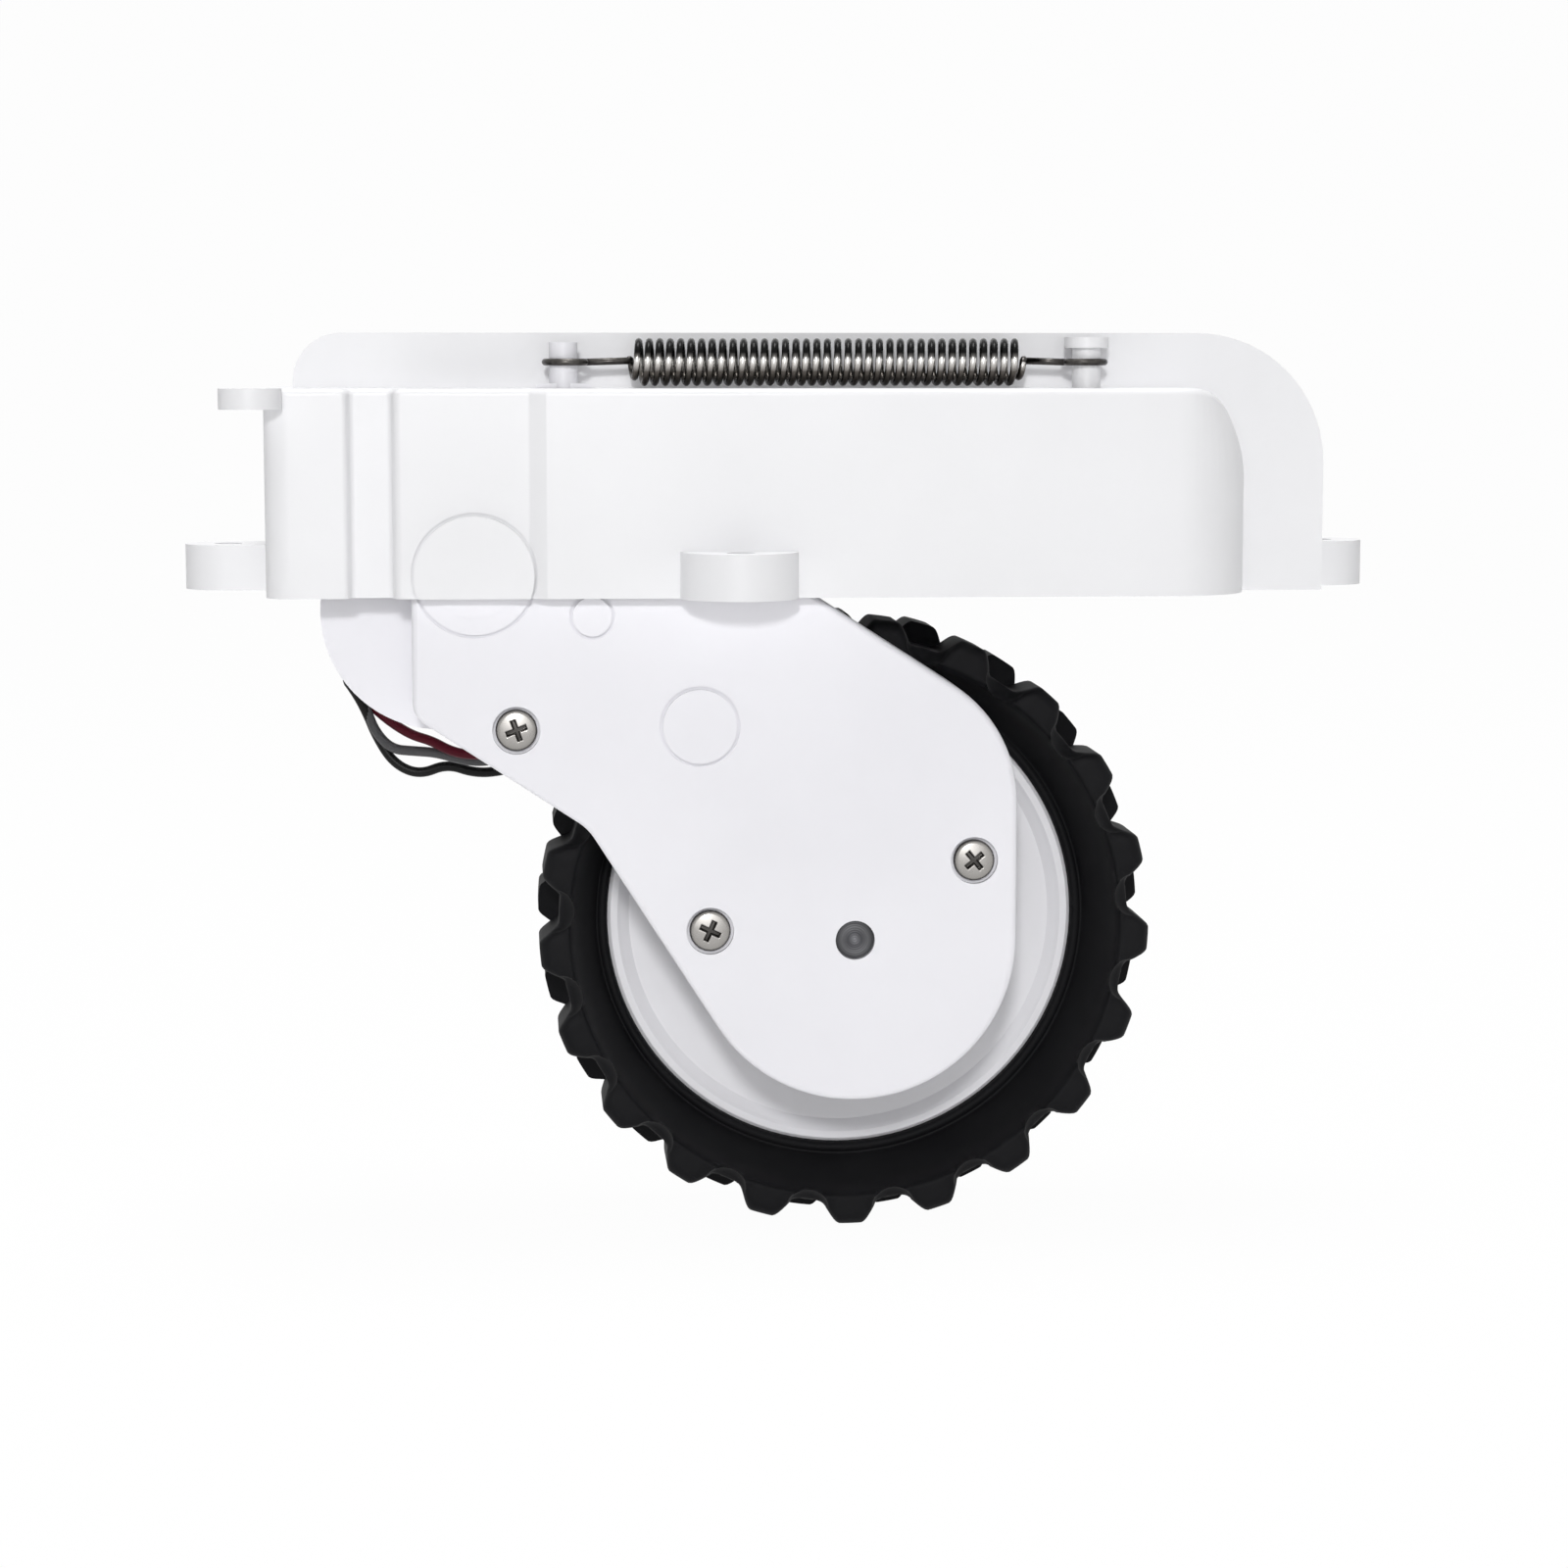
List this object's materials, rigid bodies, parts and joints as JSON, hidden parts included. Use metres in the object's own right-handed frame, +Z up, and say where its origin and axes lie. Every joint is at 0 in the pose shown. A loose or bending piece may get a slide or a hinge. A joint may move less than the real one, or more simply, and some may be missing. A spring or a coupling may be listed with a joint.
{
  "type": "robot vacuum wheel module",
  "caption": "Sprung drive wheel module for a floor-cleaning robot: a housing, a swinging gearbox arm with a motor, and a treaded wheel.",
  "frame": {"origin": "midway between the screw holes of the two side ears, on their underside", "axes": "+X to the right in the side view from the motor to the wheel, +Y away from the gearbox cover, +Z up"},
  "size_m": [0.139, 0.0466, 0.1048],
  "materials": {
    "shell_plastic": "satin",
    "spring_steel": "satin",
    "pin_steel": "polished",
    "screw_steel": "satin",
    "motor_steel": "satin",
    "terminal_brass": "satin",
    "bearing_bronze": "matt",
    "circuit_board": "satin",
    "magnet": "matt",
    "black_plastic": "satin",
    "gear_plastic": "satin",
    "tyre_rubber": "matt",
    "red_lead": "satin",
    "black_lead": "satin",
    "grey_lead": "satin"
  },
  "bodies": {
    "frame": {"housing": "shell_plastic", "pivot_pin": "pin_steel", "spring": "spring_steel", "wire_plug": "shell_plastic", "lead_red": "red_lead", "lead_black": "black_lead", "lead_grey": "grey_lead"},
    "arm": {"gearbox_case": "shell_plastic", "gearbox_cover": "shell_plastic", "cover_screws": "screw_steel", "motor_can": "motor_steel", "motor_end_bell": "black_plastic", "motor_terminals": "terminal_brass", "encoder_board": "circuit_board", "motor_cap": "shell_plastic", "cap_screws": "screw_steel", "motor_screws": "screw_steel", "first_gear_pin": "pin_steel", "second_gear_pin": "pin_steel", "third_gear_pin": "pin_steel", "axle_bearing": "bearing_bronze"},
    "rotor": {"motor_shaft": "pin_steel", "motor_pinion": "terminal_brass", "encoder_magnet": "magnet"},
    "first_stage": {"first_gear": "gear_plastic"},
    "second_stage": {"second_gear": "gear_plastic"},
    "third_stage": {"third_gear": "gear_plastic"},
    "wheel": {"axle": "pin_steel", "output_gear": "gear_plastic", "wheel_hub": "shell_plastic", "tyre": "tyre_rubber", "hub_washer": "screw_steel", "hub_screw": "screw_steel"}
  },
  "joints": [
    {"name": "arm_swing", "type": "hinge", "parent": "frame", "child": "arm", "pos_m": [-0.0357, 0, 0.0025], "axis": [0, -1, 0], "range_deg": [0, 30], "stiffness_Nm_per_rad": 0.29, "springref_deg": -49.27, "deforming": ["spring", "lead_red", "lead_black", "lead_grey"]},
    {"name": "wheel_spin", "type": "hinge", "parent": "arm", "child": "wheel", "pos_m": [0.00716, 0, -0.03935], "axis": [0, 1, 0], "continuous": true},
    {"name": "third_gear_spin", "type": "hinge", "parent": "arm", "child": "third_stage", "pos_m": [-0.00129, 0, -0.02345], "axis": [0, 1, 0], "continuous": true},
    {"name": "second_gear_spin", "type": "hinge", "parent": "arm", "child": "second_stage", "pos_m": [-0.01518, 0, -0.012], "axis": [0, 1, 0], "continuous": true},
    {"name": "first_gear_spin", "type": "hinge", "parent": "arm", "child": "first_stage", "pos_m": [-0.02503, 0, 0.0006], "axis": [0, 1, 0], "continuous": true},
    {"name": "motor_spin", "type": "hinge", "parent": "arm", "child": "rotor", "pos_m": [-0.0398, 0, -0.002], "axis": [0, 1, 0], "continuous": true}
  ],
  "couplings": [
    {"joint": "third_gear_spin", "follows": "wheel_spin", "ratio": -2},
    {"joint": "second_gear_spin", "follows": "wheel_spin", "ratio": 5.5},
    {"joint": "first_gear_spin", "follows": "wheel_spin", "ratio": -16.5},
    {"joint": "motor_spin", "follows": "wheel_spin", "ratio": 66}
  ]
}
